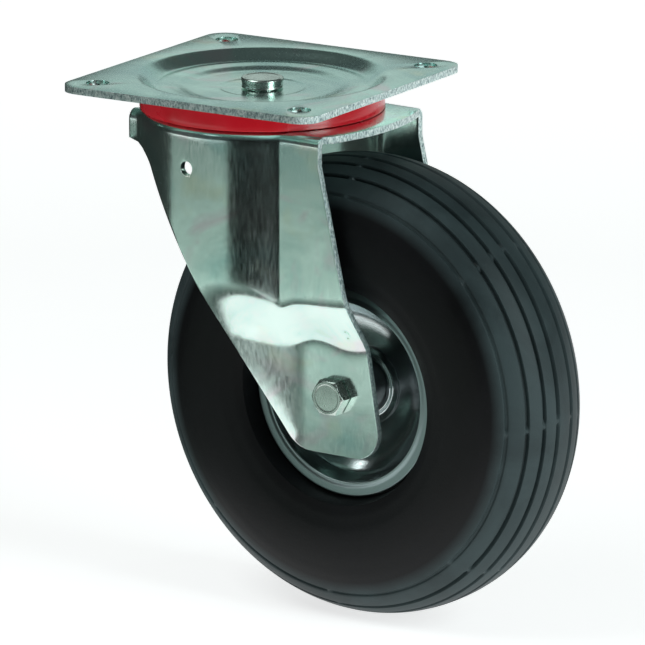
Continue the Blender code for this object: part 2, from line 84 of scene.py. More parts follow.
# Sizes, in metres. First the plate and its king bolt
GAP = 0.0003
PLATE_THICK = 0.004
PLATE_CORNER = 0.012
BOWL_R = 0.071
BOWL_DEPTH = 0.0072
LEDGE_R = 0.059
LEDGE_IN_R = 0.050
LEDGE_DEPTH = 0.0055
FLOOR_R = 0.040
EMBOSS_R = 0.024
EMBOSS_DEPTH = 0.0005
BOLT_HOLE_R = 0.0065
BOLT_HOLE_X = 0.0657
BOLT_HOLE_Y = 0.0670
KING_R = 0.008
KING_HEAD_R = 0.0120
KING_HEAD = 0.0055

# Fork and axle bolt. The crown is a hair thinner than the CAD's, to leave the ball rows room
SHELF_Z = -0.01805
SHEET = 0.0039
CROWN_HOLE_R = 0.0145
SHOULDER_R = 0.0055
SKIRT_R = 0.0690
LEG_Y = 0.050
PAD_Y = 0.035
LEG_TOP_Z = -0.034
CREASE_Z = -0.1125
CREASE_FRONT_X = 0.0085
CREASE_REAR_X = 0.0918
PAD_TOP_Z = -0.137
LEG_END_Z = -0.200
LEG_END_R = 0.015
REAR_BULGE = 0.0105
PAD_FRONT_X = 0.054
LOCK_HOLE_R = 0.004
LOCK_HOLE_X = -0.0018
LOCK_HOLE_Z = -0.0412
AXLE_R = 0.006
AXLE_FLATS = 0.019
AXLE_HEAD = 0.0078
AXLE_TAIL = 0.0125
AXLE_NUT = 0.0095
WASHER_R = 0.0120
WASHER_THICK = 0.0020
THREAD_PITCH = 0.0015
THREAD_DEPTH = 0.0008

# Dust seal, wheel and valve
SEAL_R = 0.0685
SEAL_IN_R = 0.0635
HUB_R = 0.0145
HUB_BORE_R = 0.0125
HUB_HALF = 0.0265
RIM_R = 0.0595
RIM_HALF = 0.0265
RIM_SHEET = 0.0022
TYRE_R = 0.130
TYRE_HALF = 0.040
TYRE_MIDDLE_R = 0.086     # middle of the section's outside, from the axle
TYRE_SQUARE = 0.87        # 1 is an ellipse, less is squarer
BEAD_R = 0.0535
VALVE_ANGLE = math.radians(250)
VALVE_R = 0.040
VALVE_END = 0.0190
VALVE_CAP_R = 0.0044
VALVE_CAP_LENGTH = 0.0090


# ---------------------------------------------------------------- shaping

def lerp(a, b, t):
    return a + (b - a) * t


def ease(t):
    t = min(max(t, 0.0), 1.0)
    return t * t * (3 - 2 * t)


def soft_max(a, b, width):
    """The larger of two values, with a rounded change from one to the other."""
    return (a + b + math.sqrt((a - b) ** 2 + width ** 2)) / 2


def soft_min(a, b, width):
    return -soft_max(-a, -b, width)


def hump(value, centre, width):
    """1 at the centre, falling smoothly to 0 at a distance of one width."""
    return ease(1 - abs(value - centre) / width)


def rounded(points, closed=True, steps=4):
    """An outline with rounded corners. Each point is (radius, height, rounding)."""
    outline = []
    count = len(points)
    for i, (r, h, size) in enumerate(points):
        here = Vector((r, h))
        if size <= 0 or (not closed and i in (0, count - 1)):
            outline.append((r, h))
            continue
        before = Vector(points[i - 1][:2]) - here
        after = Vector(points[(i + 1) % count][:2]) - here
        reach = min(size, before.length * 0.48, after.length * 0.48)
        start, end = here + before.normalized() * reach, here + after.normalized() * reach
        for k in range(steps + 1):
            t = k / steps
            point = start * (1 - t) ** 2 + here * 2 * t * (1 - t) + end * t ** 2
            outline.append((point.x, point.y))
    return outline


def finish_piece(name, bm, matrix, degrees=30):
    """Turns a bmesh into a smooth-shaded object that stands at a matrix."""
    bmesh.ops.remove_doubles(bm, verts=bm.verts, dist=0.000002)
    bmesh.ops.recalc_face_normals(bm, faces=bm.faces)
    mesh = bpy.data.meshes.new(name)
    bm.to_mesh(mesh)
    bm.free()
    mesh.shade_smooth()
    mesh.set_sharp_from_angle(angle=math.radians(degrees))
    obj = bpy.data.objects.new(name, mesh)
    bpy.context.scene.collection.objects.link(obj)
    obj.matrix_world = matrix
    return obj


def lathe(name, section, steps, matrix, closed=True, degrees=30):
    """A turned piece about its own Z. section(angle) gives its (radius, height) points."""
    bm = bmesh.new()
    rows = []
    for i in range(steps):
        angle = math.tau * i / steps
        c, s = math.cos(angle), math.sin(angle)
        rows.append([bm.verts.new((r * c, r * s, h)) for r, h in section(angle)])
    last = len(rows[0]) if closed else len(rows[0]) - 1
    for i, row in enumerate(rows):
        other = rows[(i + 1) % steps]
        for j in range(last):
            k = (j + 1) % len(row)
            bm.faces.new((row[j], row[k], other[k], other[j]))
    bmesh.ops.dissolve_degenerate(bm, edges=bm.edges, dist=0.000001)
    return finish_piece(name, bm, matrix, degrees)


def turned(name, points, steps, matrix, closed=True, rounding=4):
    outline = rounded(points, closed, rounding)
    return lathe(name, lambda angle: outline, steps, matrix, closed)


def cut(obj, radius, centre, direction, depth=0.05):
    """Cuts a round hole through obj. Centre and direction are in obj's own axes."""
    bm = bmesh.new()
    bmesh.ops.create_cone(bm, cap_ends=True, segments=64, radius1=radius, radius2=radius, depth=depth)
    turn = Vector((0, 0, 1)).rotation_difference(direction).to_matrix().to_4x4()
    tool = finish_piece("hole_tool", bm, obj.matrix_world @ Matrix.Translation(centre) @ turn)
    boolean = obj.modifiers.new("Hole", "BOOLEAN")
    boolean.object = tool
    boolean.solver = "EXACT"
    bake(obj)
    bpy.data.objects.remove(tool, do_unlink=True)


def bake(obj):
    """Turns an object's modifiers into its mesh."""
    bpy.context.view_layer.update()
    done = obj.evaluated_get(bpy.context.evaluated_depsgraph_get())
    mesh = bpy.data.meshes.new_from_object(done)
    obj.modifiers.clear()
    obj.data = mesh


def thicken(obj, thickness, face, edge):
    """Gives a surface its thickness. Its cut edges take a material of their own."""
    for material in (face, edge):
        obj.data.materials.append(material)
    solid = obj.modifiers.new("Thickness", "SOLIDIFY")
    solid.material_offset_rim = 1
    solid.thickness = thickness
    solid.offset = -1.0
    bake(obj)


def soften_edges(obj, width, degrees, segments=2):
    bevel = obj.modifiers.new("Edges", "BEVEL")
    bevel.width = width
    bevel.segments = segments
    bevel.limit_method = "ANGLE"
    bevel.angle_limit = math.radians(degrees)
    bevel.harden_normals = False
    bake(obj)
    obj.data.shade_smooth()
    obj.data.set_sharp_from_angle(angle=math.radians(38))


def hexagon(flats, angle):
    """Distance from the middle of a hexagon to its edge in one direction. A flat faces 0."""
    sector = math.pi / 3
    off = (angle + sector / 2) % sector - sector / 2
    return flats / 2 / math.cos(off)


def hex_head(name, flats, low, high, matrix, dish=0.0005, bore=0.0, foot=0.0, turn=0.0):
    """A forged hexagon head or nut: chamfered corners, a dished top and a washer face."""
    chamfer_r = flats / 2 * 0.96
    slope = math.tan(math.radians(30))

    def section(angle):
        reach = hexagon(flats, angle + turn)
        shoulder = high - (reach - chamfer_r) * slope
        points = [(chamfer_r * 0.80, high - dish, 0.001), (chamfer_r * 0.88, high, 0.0008),
                  (chamfer_r, high, 0.0004), (reach, shoulder, 0.0005)]
        if bore:
            mouth = bore * 1.12
            points = [(bore, low + 0.0008, 0), (bore, high - 0.0012, 0.0002),
                      (mouth, high - 0.0004, 0.0003)] + points[1:]
        else:
            points = [(0, high - dish, 0)] + points
        points += [(reach, low + foot, 0.0003)]
        if foot:
            points += [(chamfer_r * 0.98, low + foot, 0.0002), (chamfer_r * 0.98, low, 0.0001)]
        points.append((bore + 0.0006 if bore else 0, low, 0))
        return rounded(points, bool(bore), 3)

    return lathe(name, section, 180, matrix, bool(bore), 24)


def join(name, *objects):
    """Joins objects that stand at the same matrix into one piece with several closed bodies."""
    bm = bmesh.new()
    for obj in objects:
        bm.from_mesh(obj.data)
    matrix = objects[0].matrix_world.copy()
    for obj in objects:
        bpy.data.objects.remove(obj, do_unlink=True)
    return finish_piece(name, bm, matrix, 28)


# ---------------------------------------------------------------- materials

class Nodes:
    """A short way to write a node material."""

    def __init__(self, name):
        self.material = bpy.data.materials.new(name)
        self.material.use_nodes = True
        self.tree = self.material.node_tree
        self.shader = self.tree.nodes["Principled BSDF"]
        self.coords = self.tree.nodes.new("ShaderNodeTexCoord").outputs["Object"]

    def link(self, value, socket):
        if isinstance(value, bpy.types.NodeSocket):
            self.tree.links.new(value, socket)
        else:
            socket.default_value = value

    def noise(self, scale, detail=4.0, roughness=0.55, stretch=(1, 1, 1), distortion=0.0):
        mapping = self.tree.nodes.new("ShaderNodeMapping")
        mapping.inputs["Scale"].default_value = stretch
        self.tree.links.new(self.coords, mapping.inputs["Vector"])
        node = self.tree.nodes.new("ShaderNodeTexNoise")
        node.inputs["Scale"].default_value = scale
        node.inputs["Detail"].default_value = detail
        node.inputs["Roughness"].default_value = roughness
        node.inputs["Distortion"].default_value = distortion
        self.tree.links.new(mapping.outputs["Vector"], node.inputs["Vector"])
        return node.outputs["Fac"]

    def ramp(self, value, *stops):
        node = self.tree.nodes.new("ShaderNodeValToRGB")
        self.tree.links.new(value, node.inputs["Fac"])
        elements = node.color_ramp.elements
        while len(elements) < len(stops):
            elements.new(0.5)
        for element, (place, colour) in zip(elements, stops):
            element.position = place
            element.color = (*colour, 1.0)
        return node.outputs["Color"]

    def remap(self, value, low, high, new_low, new_high):
        node = self.tree.nodes.new("ShaderNodeMapRange")
        self.tree.links.new(value, node.inputs["Value"])
        for name, number in (("From Min", low), ("From Max", high), ("To Min", new_low),
                             ("To Max", new_high)):
            node.inputs[name].default_value = number
        return node.outputs["Result"]

    def math(self, operation, a, b=0.0):
        node = self.tree.nodes.new("ShaderNodeMath")
        node.operation = operation
        self.link(a, node.inputs[0])
        self.link(b, node.inputs[1])
        return node.outputs["Value"]

    def mix(self, factor, a, b, blend="MIX"):
        node = self.tree.nodes.new("ShaderNodeMix")
        node.data_type = "RGBA"
        node.blend_type = blend
        self.link(factor, node.inputs["Factor"])
        for value, socket in ((a, node.inputs[6]), (b, node.inputs[7])):
            self.link(value if isinstance(value, bpy.types.NodeSocket) else (*value, 1.0), socket)
        return node.outputs[2]

    def bump(self, height, distance, strength=1.0):
        node = self.tree.nodes.new("ShaderNodeBump")
        node.inputs["Distance"].default_value = distance
        node.inputs["Strength"].default_value = strength
        self.tree.links.new(height, node.inputs["Height"])
        self.tree.links.new(node.outputs["Normal"], self.shader.inputs["Normal"])

    def split(self):
        """The X, Y and Z of a place on the piece."""
        node = self.tree.nodes.new("ShaderNodeSeparateXYZ")
        self.tree.links.new(self.coords, node.inputs["Vector"])
        return node.outputs

    def radius(self):
        """Distance from the piece's own Z axis."""
        x, y = self.split()[0], self.split()[1]
        return self.math("SQRT", self.math("ADD", self.math("MULTIPLY", x, x),
                                           self.math("MULTIPLY", y, y)))

    def set(self, **values):
        for name, value in values.items():
            self.link(value, self.shader.inputs[name.replace("_", " ")])
        return self.material


def passivated_zinc(name, tint, deep, rough=0.24, speck=0.5):
    """Bright zinc under a blue passivation film: cloudy green and blue, with rosy patches."""
    n = Nodes(name)
    clouds = n.noise(20, 4, 0.55, distortion=0.7)
    colour = n.ramp(clouds, (0.32, deep), (0.52, tint), (0.66, tuple(min(c * 1.12, 1) for c in tint)))
    rosy = n.remap(n.noise(24, 3, 0.5, distortion=1.2), 0.54, 0.70, 0.0, 0.60)
    colour = n.mix(rosy, colour, (0.80, 0.66, 0.72))
    golden = n.remap(n.noise(31, 3, 0.5), 0.58, 0.72, 0.0, 0.45)
    colour = n.mix(golden, colour, (0.78, 0.82, 0.60))
    stains = n.remap(n.noise(330, 5, 0.7), 0.66, 0.76, 0.0, speck)
    colour = n.mix(stains, colour, (0.10, 0.15, 0.16))
    grain = n.noise(800, 3, 0.6, stretch=(1, 1, 0.2))
    roughness = n.math("ADD", n.remap(grain, 0.3, 0.7, rough - 0.04, rough + 0.06),
                       n.remap(clouds, 0.3, 0.7, 0.03, -0.03))
    waves = n.math("ADD", n.noise(55, 2, 0.5), n.math("MULTIPLY", grain, 0.04))
    n.bump(waves, 0.0005, 0.30)
    return n.set(Base_Color=colour, Metallic=1.0, Roughness=roughness)


def sheared_steel(name):
    """Cut edge of the sheet: fine tearing, bright and dark by turns."""
    n = Nodes(name)
    tears = n.noise(900, 5, 0.75, stretch=(1, 1, 0.6))
    colour = n.ramp(tears, (0.37, (0.15, 0.24, 0.25)), (0.48, (0.50, 0.64, 0.63)),
                    (0.60, (0.88, 0.97, 0.94)))
    n.bump(tears, 0.0008, 0.9)
    return n.set(Base_Color=colour, Metallic=1.0, Roughness=n.remap(tears, 0.3, 0.7, 0.45, 0.28))


def rim_metal():
    """Spun rim: smooth bright zinc with faint turning lines, duller on the flange."""
    n = Nodes("rim_zinc")
    r = n.radius()
    lines = n.tree.nodes.new("ShaderNodeTexNoise")
    lines.noise_dimensions = "1D"
    lines.inputs["Scale"].default_value = 2600
    n.link(r, lines.inputs["W"])
    clouds = n.noise(22, 3, 0.5)
    colour = n.ramp(clouds, (0.35, (0.52, 0.59, 0.60)), (0.6, (0.70, 0.77, 0.77)))
    flange = n.remap(r, 0.0512, 0.0522, 0.0, 1.0)
    colour = n.mix(flange, colour, (0.30, 0.38, 0.38))
    roughness = n.math("ADD", n.remap(lines.outputs["Fac"], 0.3, 0.7, 0.13, 0.20),
                       n.math("MULTIPLY", flange, 0.20))
    n.bump(lines.outputs["Fac"], 0.0001, 0.25)
    return n.set(Base_Color=colour, Metallic=1.0, Roughness=roughness)


def bright_steel(name, colour, rough):
    """Ground or plated small steel part with fine scratches."""
    n = Nodes(name)
    scratches = n.noise(1500, 4, 0.65, stretch=(1, 0.2, 1))
    clouds = n.noise(60, 3, 0.5)
    dark = tuple(c * 0.78 for c in colour)
    shade = n.ramp(clouds, (0.35, dark), (0.6, colour))
    n.bump(scratches, 0.0001, 0.35)
    roughness = n.remap(scratches, 0.3, 0.7, rough - 0.05, rough + 0.09)
    return n.set(Base_Color=shade, Metallic=1.0, Roughness=roughness)


def red_rubber():
    n = Nodes("seal_red")
    cloud = n.noise(30, 3, 0.5)
    colour = n.ramp(cloud, (0.3, (0.60, 0.003, 0.011)), (0.7, (0.78, 0.008, 0.026)))
    n.bump(n.noise(600, 3, 0.5), 0.0001, 0.2)
    return n.set(Base_Color=colour, Roughness=n.remap(cloud, 0.3, 0.7, 0.22, 0.32), Coat_Weight=0.3,
                 Coat_Roughness=0.12)


def tyre_rubber():
    """Black rubber: a dusty grey-green bloom on the tread, where the colour is also lifted as a
    painted sheen of light; smoother and bluer on the side.
    """
    n = Nodes("tyre_black")
    r = n.radius()
    tread = n.remap(r, 0.106, 0.113, 0.0, 1.0)
    bloom = n.noise(16, 5, 0.6, stretch=(1, 1, 1.6), distortion=0.5)
    side = n.ramp(bloom, (0.35, (0.0012, 0.0015, 0.0019)), (0.65, (0.0026, 0.0031, 0.0042)))
    # Painted sheen: the tread's colour is far lighter than the side's, partly for its dusty bloom and
    # partly to stand in for the light that falls on the tread.
    top = n.ramp(bloom, (0.35, (0.0200, 0.0310, 0.0330)), (0.62, (0.0400, 0.0610, 0.0640)))
    colour = n.mix(tread, side, top)
    scuffs = n.remap(n.noise(260, 5, 0.7), 0.64, 0.74, 0.0, 0.30)
    colour = n.mix(n.math("MULTIPLY", scuffs, tread), colour, (0.055, 0.068, 0.068))
    skin = n.noise(700, 4, 0.6)
    roughness = n.math("ADD", n.remap(bloom, 0.3, 0.7, 0.42, 0.52), n.math("MULTIPLY", tread, 0.05))
    n.bump(n.math("ADD", skin, n.math("MULTIPLY", bloom, 2.0)), 0.0003, 0.30)
    return n.set(Base_Color=colour, Roughness=roughness, Specular_IOR_Level=0.24)


def dark_plastic(name, colour, rough):
    n = Nodes(name)
    cloud = n.noise(80, 4, 0.6)
    shade = n.ramp(cloud, (0.3, tuple(c * 0.7 for c in colour)), (0.7, colour))
    n.bump(n.noise(1200, 3, 0.5), 0.0002, 0.3)
    return n.set(Base_Color=shade, Roughness=n.remap(cloud, 0.3, 0.7, rough - 0.06, rough + 0.06))


def studio_floor():
    """Pale paper that glows a little, more so far out, so that it meets the white background."""
    n = Nodes("floor_paper")
    n.shader.inputs["Emission Strength"].default_value = 1.0
    paper = n.ramp(n.noise(2, 2, 0.5), (0.3, (0.78, 0.78, 0.78)), (0.7, (0.80, 0.80, 0.80)))
    far = n.remap(n.radius(), 0.8, 2.6, 0.0, 1.0)
    glow = n.ramp(far, (0.0, (0.72, 0.72, 0.72)), (1.0, (0.99, 0.99, 0.99)))
    return n.set(Base_Color=paper, Roughness=0.85, Emission_Color=glow)


zinc_plate = passivated_zinc("zinc_plate", (0.58, 0.82, 0.75), (0.42, 0.64, 0.62), rough=0.22)
zinc_fork = passivated_zinc("zinc_fork", (0.74, 0.90, 0.84), (0.50, 0.72, 0.68), rough=0.17)
sheared = sheared_steel("sheared_edge")
rim_zinc = rim_metal()
bolt_zinc = bright_steel("bolt_zinc", (0.66, 0.76, 0.70), 0.24)
bearing = bright_steel("bearing_steel", (0.62, 0.63, 0.63), 0.20)
hub_steel = bright_steel("hub_steel", (0.20, 0.22, 0.23), 0.34)
seal_red = red_rubber()
tyre_black = tyre_rubber()
black_cap = dark_plastic("cap_plastic", (0.018, 0.018, 0.020), 0.42)
tube_black = dark_plastic("tube_rubber", (0.024, 0.024, 0.025), 0.62)


def dress(obj, body, slot, material, *nodes):
    """Gives a piece its material and its body, and hides the CAD nodes it stands for. Its slot is not
    used.
    """
    if not obj.data.materials:
        obj.data.materials.append(material)
    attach(obj, body)
    if nodes:
        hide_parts(*nodes)


# ---------------------------------------------------------------- plate and king bolt

def bowl_height(r):
    """Height of the plate's top at a distance from the swivel axis."""
    if r >= LEDGE_R:
        return -LEDGE_DEPTH * (1 - ease((r - LEDGE_R) / (BOWL_R - LEDGE_R)))
    if r >= LEDGE_IN_R:
        return -LEDGE_DEPTH + 0.0004 * math.sin(math.pi * (r - LEDGE_IN_R) / (LEDGE_R - LEDGE_IN_R))
    height = lerp(-BOWL_DEPTH, -LEDGE_DEPTH, ease((r - FLOOR_R) / (LEDGE_IN_R - FLOOR_R)))
    return height - EMBOSS_DEPTH * ease((EMBOSS_R - r) / 0.0012)


def plate_edge(angle):
    """Point on the plate's rounded rectangle, in one direction from the middle."""
    direction = Vector((math.cos(angle), math.sin(angle)))
    reach = min(PLATE_HALF_X / max(abs(direction.x), 1e-9), PLATE_HALF_Y / max(abs(direction.y), 1e-9))
    point = direction * reach
    centre = Vector((math.copysign(PLATE_HALF_X - PLATE_CORNER, point.x),
                     math.copysign(PLATE_HALF_Y - PLATE_CORNER, point.y)))
    if abs(point.x) > abs(centre.x) and abs(point.y) > abs(centre.y):
        across = direction.dot(centre)
        point = direction * (across + math.sqrt(max(across ** 2 - centre.length_squared
                                                    + PLATE_CORNER ** 2, 0.0)))
    return point


def make_plate():
    spokes = 256
    rings = 56
    bm = bmesh.new()
    radii = [lerp(KING_R + GAP, BOWL_R + 0.001, i / rings) for i in range(rings + 1)]
    angles = [math.tau * i / spokes for i in range(spokes)]
    rows = [[bm.verts.new((r * math.cos(a), r * math.sin(a), bowl_height(r))) for a in angles]
            for r in radii]
    rows.append([bm.verts.new((*plate_edge(a), 0.0)) for a in angles])
    for inner, outer in zip(rows, rows[1:]):
        for i in range(spokes):
            j = (i + 1) % spokes
            bm.faces.new((inner[i], outer[i], outer[j], inner[j]))
    plate = finish_piece("mounting_plate", bm, Matrix.Identity(4))
    if plate.data.polygons[0].normal.z < 0:
        plate.data.flip_normals()
    thicken(plate, PLATE_THICK, zinc_plate, sheared)
    for x in (-BOLT_HOLE_X, BOLT_HOLE_X):
        for y in (-BOLT_HOLE_Y, BOLT_HOLE_Y):
            cut(plate, BOLT_HOLE_R, Vector((x, y, 0)), Vector((0, 0, 1)))
    soften_edges(plate, 0.0007, 60, 3)
    dress(plate, "plate", "zinc_steel", zinc_plate, "top_plate")


def make_king_bolt():
    """Round-headed king bolt. The head's side is slightly waisted, and its top has a low rim."""
    low = -BOWL_DEPTH + GAP
    top = low + KING_HEAD
    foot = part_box("king_bolt")[0].z
    outline = [(0, top - 0.0003, 0), (KING_HEAD_R - 0.0024, top - 0.0003, 0.0004),
               (KING_HEAD_R - 0.0019, top, 0.0003), (KING_HEAD_R - 0.0008, top, 0.0004),
               (KING_HEAD_R, top - 0.0009, 0.0006), (KING_HEAD_R - 0.0007, low + 0.0012, 0.002),
               (KING_HEAD_R - 0.0003, low, 0.0002), (KING_R, low, 0.0002), (KING_R, foot, 0.0012),
               (0, foot, 0)]
    bolt = turned("king_bolt_round", outline, 128, Matrix.Identity(4), False)
    dress(bolt, "plate", "bolt_steel", bolt_zinc, "king_bolt")


# ---------------------------------------------------------------- fork

def front_x(z):
    """Front edge of a leg, seen from the side. It flares out under the crown."""
    if z > CREASE_Z:
        straight = lerp(-0.0393, CREASE_FRONT_X, (LEG_TOP_Z - z) / (LEG_TOP_Z - CREASE_Z))
        flare = 1 - min((LEG_TOP_Z - z) / 0.014, 1.0)
        return straight - 0.016 * flare ** 3
    return lerp(CREASE_FRONT_X, 0.0482, (CREASE_Z - z) / (CREASE_Z - LEG_END_Z))


def rear_x(z):
    """Rear edge of a leg, seen from the side."""
    if z > CREASE_Z:
        return lerp(0.0738, CREASE_REAR_X, (LEG_TOP_Z - z) / (LEG_TOP_Z - CREASE_Z))
    return lerp(CREASE_REAR_X, 0.1062, (CREASE_Z - z) / (CREASE_Z - LEG_END_Z))


def upper_y(x):
    """Half-width above the crease: a round front that meets a flat rear."""
    return soft_max(math.sqrt(max(SKIRT_R ** 2 - x ** 2, 0.0)), LEG_Y, 0.002)


def crease_z(x):
    """Height of the crease, where the leg starts to slant in. It climbs a little to the rear."""
    return CREASE_Z + 0.09 * (x - 0.070)


def pad_top_z(x):
    """Upper edge of the axle pad, a shallow wave."""
    return PAD_TOP_Z + 0.0016 * math.cos((x - 0.0636) * math.tau / 0.043)


def half_width(x, z):
    """Half-width of the fork's outer face at a place seen from the side."""
    crease = crease_z(x)
    slope = (LEG_Y - PAD_Y) / (crease - pad_top_z(x))
    low = soft_max(PAD_Y, LEG_Y - (crease - z) * slope, 0.0016)
    front = front_x(z)
    crease_y = upper_y(CREASE_FRONT_X)
    front_slope = (crease_y - PAD_Y) / (CREASE_Z - LEG_END_Z - 0.004)
    front_y = soft_max(crease_y - (CREASE_Z - z) * front_slope, PAD_Y, 0.002)
    side = soft_max((PAD_FRONT_X - x) / (PAD_FRONT_X - front), 0.0, 0.16) - 0.04
    low += (front_y - low) * max(side, 0.0)
    dimple = 0.0012 * hump(math.hypot(x - 0.086, z + 0.129), 0.0, 0.0036)
    return soft_min(upper_y(x), low, 0.0018) - dimple


def leg_edges(z):
    """Front and rear edge of a leg at a height, with the two lower corners rounded."""
    middle = LEG_END_Z + LEG_END_R
    edges = []
    for edge, side in ((front_x, 1), (rear_x, -1)):
        step = 0.001
        slant = (edge(middle - step) - edge(middle)) / step
        reach = math.sqrt(1 + slant ** 2)
        corner_x = edge(middle) + side * LEG_END_R * reach
        if z < middle - side * LEG_END_R * slant / reach:
            drop = min(middle - z, LEG_END_R)
            edges.append(corner_x - side * math.sqrt(max(LEG_END_R ** 2 - drop ** 2, 0.0)))
        else:
            edges.append(edge(z))
    return edges


def leg_heights():
    """Heights of the rows down a leg, evenly spaced, then close together round the lower corners."""
    middle = LEG_END_Z + LEG_END_R
    heights = [lerp(LEG_TOP_Z, middle, i / 84) for i in range(1, 85)]
    return heights + [middle - LEG_END_R * math.sin(math.pi / 2 * i / 16) for i in range(1, 17)]


LEG_HEIGHTS = leg_heights()


def crown_columns(front, leg, rear):
    """Plan positions round the crown's near half: place, outward normal, kind and share of the leg."""
    columns = []
    top_x = front_x(LEG_TOP_Z)
    start = math.atan2(-upper_y(top_x), top_x)
    for i in range(front):
        angle = lerp(-math.pi, start, i / front)
        normal = Vector((math.cos(angle), math.sin(angle)))
        columns.append((normal * SKIRT_R, normal, "band", 0.0))
    for i in range(leg + 1):
        x = lerp(top_x, rear_x(LEG_TOP_Z), i / leg)
        step = 0.0005
        slope = Vector((2 * step, -(upper_y(x + step) - upper_y(x - step))))
        normal = Vector((slope.y, -slope.x)).normalized()
        columns.append((Vector((x, -upper_y(x))), normal, "leg", i / leg))
    corner = columns[-1][0]
    for i in range(1, rear + 1):
        y = lerp(corner.y + SHOULDER_R, 0.0, i / rear)
        x = corner.x + REAR_BULGE * (1 - (y / corner.y) ** 2)
        columns.append((Vector((x, y)), Vector((1, 0)), "rear", 1.0))
    return columns


def column_points(place, normal, kind, share):
    """Points down one column of the pressed sheet, from the king bolt's hole outwards."""
    shelf_steps, shoulder_steps, band_steps = 8, 7, 4
    inward = place - normal * SHOULDER_R if kind != "rear" else place
    hole = inward.normalized() * CROWN_HOLE_R
    points = [(*hole.lerp(inward, i / shelf_steps), SHELF_Z) for i in range(shelf_steps + 1)]
    if kind == "rear":
        return points
    for i in range(1, shoulder_steps + 1):
        turn = math.pi / 2 * i / shoulder_steps
        out = inward + normal * SHOULDER_R * math.sin(turn)
        points.append((*out, SHELF_Z - SHOULDER_R * (1 - math.cos(turn))))
    for i in range(1, band_steps + 1):
        points.append((*place, lerp(SHELF_Z - SHOULDER_R, LEG_TOP_Z, i / band_steps)))
    if kind == "leg":
        for z in LEG_HEIGHTS:
            x = lerp(*leg_edges(z), share)
            points.append((x, -half_width(x, z), z))
    return points


def make_fork():
    near = crown_columns(24, 72, 14)
    bm = bmesh.new()
    columns = [[bm.verts.new(p) for p in column_points(*column)] for column in near]
    for column in near[-2:0:-1]:
        columns.append([bm.verts.new((x, -y, z)) for x, y, z in column_points(*column)])
    for i, column in enumerate(columns):
        other = columns[(i + 1) % len(columns)]
        for j in range(min(len(column), len(other)) - 1):
            bm.faces.new((column[j], column[j + 1], other[j + 1], other[j]))
    fork = finish_piece("pressed_fork", bm, SWIVEL)
    if sum(f.normal.z for f in fork.data.polygons if f.center.z > SHELF_Z - 0.0001) < 0:
        fork.data.flip_normals()
    thicken(fork, SHEET, zinc_fork, sheared)
    across = Vector((0, 1, 0))
    cut(fork, AXLE_R + GAP, Vector((TRAIL, 0, -AXLE_DROP)), across, 0.2)
    cut(fork, LOCK_HOLE_R, Vector((LOCK_HOLE_X, 0, LOCK_HOLE_Z)), across, 0.2)
    soften_edges(fork, 0.0006, 55)
    dress(fork, "swivel", "zinc_steel", zinc_fork, "fork")


def make_seal():
    low = SHELF_Z + GAP
    high = -PLATE_THICK - 0.0030
    points = [(SEAL_IN_R, high - 0.0022, 0), (SEAL_R - 0.0012, high, 0.0008),
              (SEAL_R, low + 0.002, 0.001), (SEAL_R, low, 0.0005), (SEAL_IN_R, low, 0)]
    dress(turned("dust_ring", points, 192, SWIVEL), "swivel", "red_seal", seal_red, "dust_seal")


def thread_outline(pad):
    """Shank and thread of the axle bolt, from under its head to its tail."""
    tail = -pad - AXLE_TAIL
    root = AXLE_R - THREAD_DEPTH
    points = [(0, pad - 0.0002, 0), (AXLE_R - 0.0001, pad - 0.0002, 0),
              (AXLE_R - 0.0001, -pad - 0.0005, 0)]
    for i in range(int(AXLE_TAIL / THREAD_PITCH) - 1):
        start = -pad - 0.0008 - i * THREAD_PITCH
        points += [(AXLE_R, start - THREAD_PITCH * 0.25, 0.0001),
                   (root, start - THREAD_PITCH * 0.75, 0.0001)]
    return points + [(root, tail + 0.0003, 0), (AXLE_R - 0.0016, tail, 0), (0, tail, 0)]


def make_axle():
    """Axle bolt with its head on the near pad, then the washer and nut on the far one."""
    pad = PAD_Y + GAP
    corner = math.pi / 6
    head = hex_head("axle_head", AXLE_FLATS, pad, pad + AXLE_HEAD, WHEEL, 0.0003, foot=0.0005,
                    turn=corner)
    shank = turned("axle_shank", thread_outline(pad), 64, WHEEL, False, 2)
    dress(join("axle_bolt_forged", head, shank), "swivel", "bolt_steel", bolt_zinc, "axle_bolt")
    outline = [(AXLE_R + GAP, -pad, 0.0002), (WASHER_R, -pad, 0.0003),
               (WASHER_R, -pad - WASHER_THICK, 0.0006), (AXLE_R + GAP, -pad - WASHER_THICK, 0.0002)]
    washer = turned("axle_washer_flat", outline, 96, WHEEL)
    dress(washer, "swivel", "bolt_steel", bolt_zinc, "axle_washer")
    foot = pad + WASHER_THICK + GAP
    nut = hex_head("axle_nut_forged", AXLE_FLATS, foot, foot + AXLE_NUT, WHEEL @ TURN_ROUND,
                   bore=AXLE_R + GAP, foot=0.0004, turn=corner)
    dress(nut, "swivel", "bolt_steel", bolt_zinc, "axle_nut")


# ---------------------------------------------------------------- wheel

def rim_outline():
    """Near rim half: outer face from the hub to the flange, then the tyre side back."""
    return [(HUB_R + GAP, 0.0062, 0.0004), (HUB_R + 0.0022, 0.0062, 0.0008),
            (HUB_R + 0.0034, 0.0042, 0.001), (0.0215, 0.0042, 0.0008),
            (0.0228, 0.0049, 0.0012), (0.0330, 0.0058, 0.004),
            (0.0410, 0.0090, 0.004), (0.0468, 0.0140, 0.0035), (0.0485, 0.0160, 0.0008),
            (0.0500, 0.0205, 0.002), (0.0514, RIM_HALF, 0.0012), (0.0528, RIM_HALF, 0.0004),
            (0.0545, RIM_HALF - 0.0005, 0.002), (RIM_R - 0.0008, RIM_HALF, 0.0006),
            (RIM_R, RIM_HALF - 0.001, 0.0006), (RIM_R - 0.0005, RIM_HALF - RIM_SHEET, 0.0006),
            (0.0530, RIM_HALF - RIM_SHEET - 0.0006, 0.002), (0.0515, 0.0190, 0.003),
            (0.0480, 0.0122, 0.003), (0.0420, 0.0070, 0.004), (0.0330, 0.0036, 0.004),
            (0.0230, 0.0024, 0.002), (HUB_R + GAP, GAP / 2, 0.0003)]


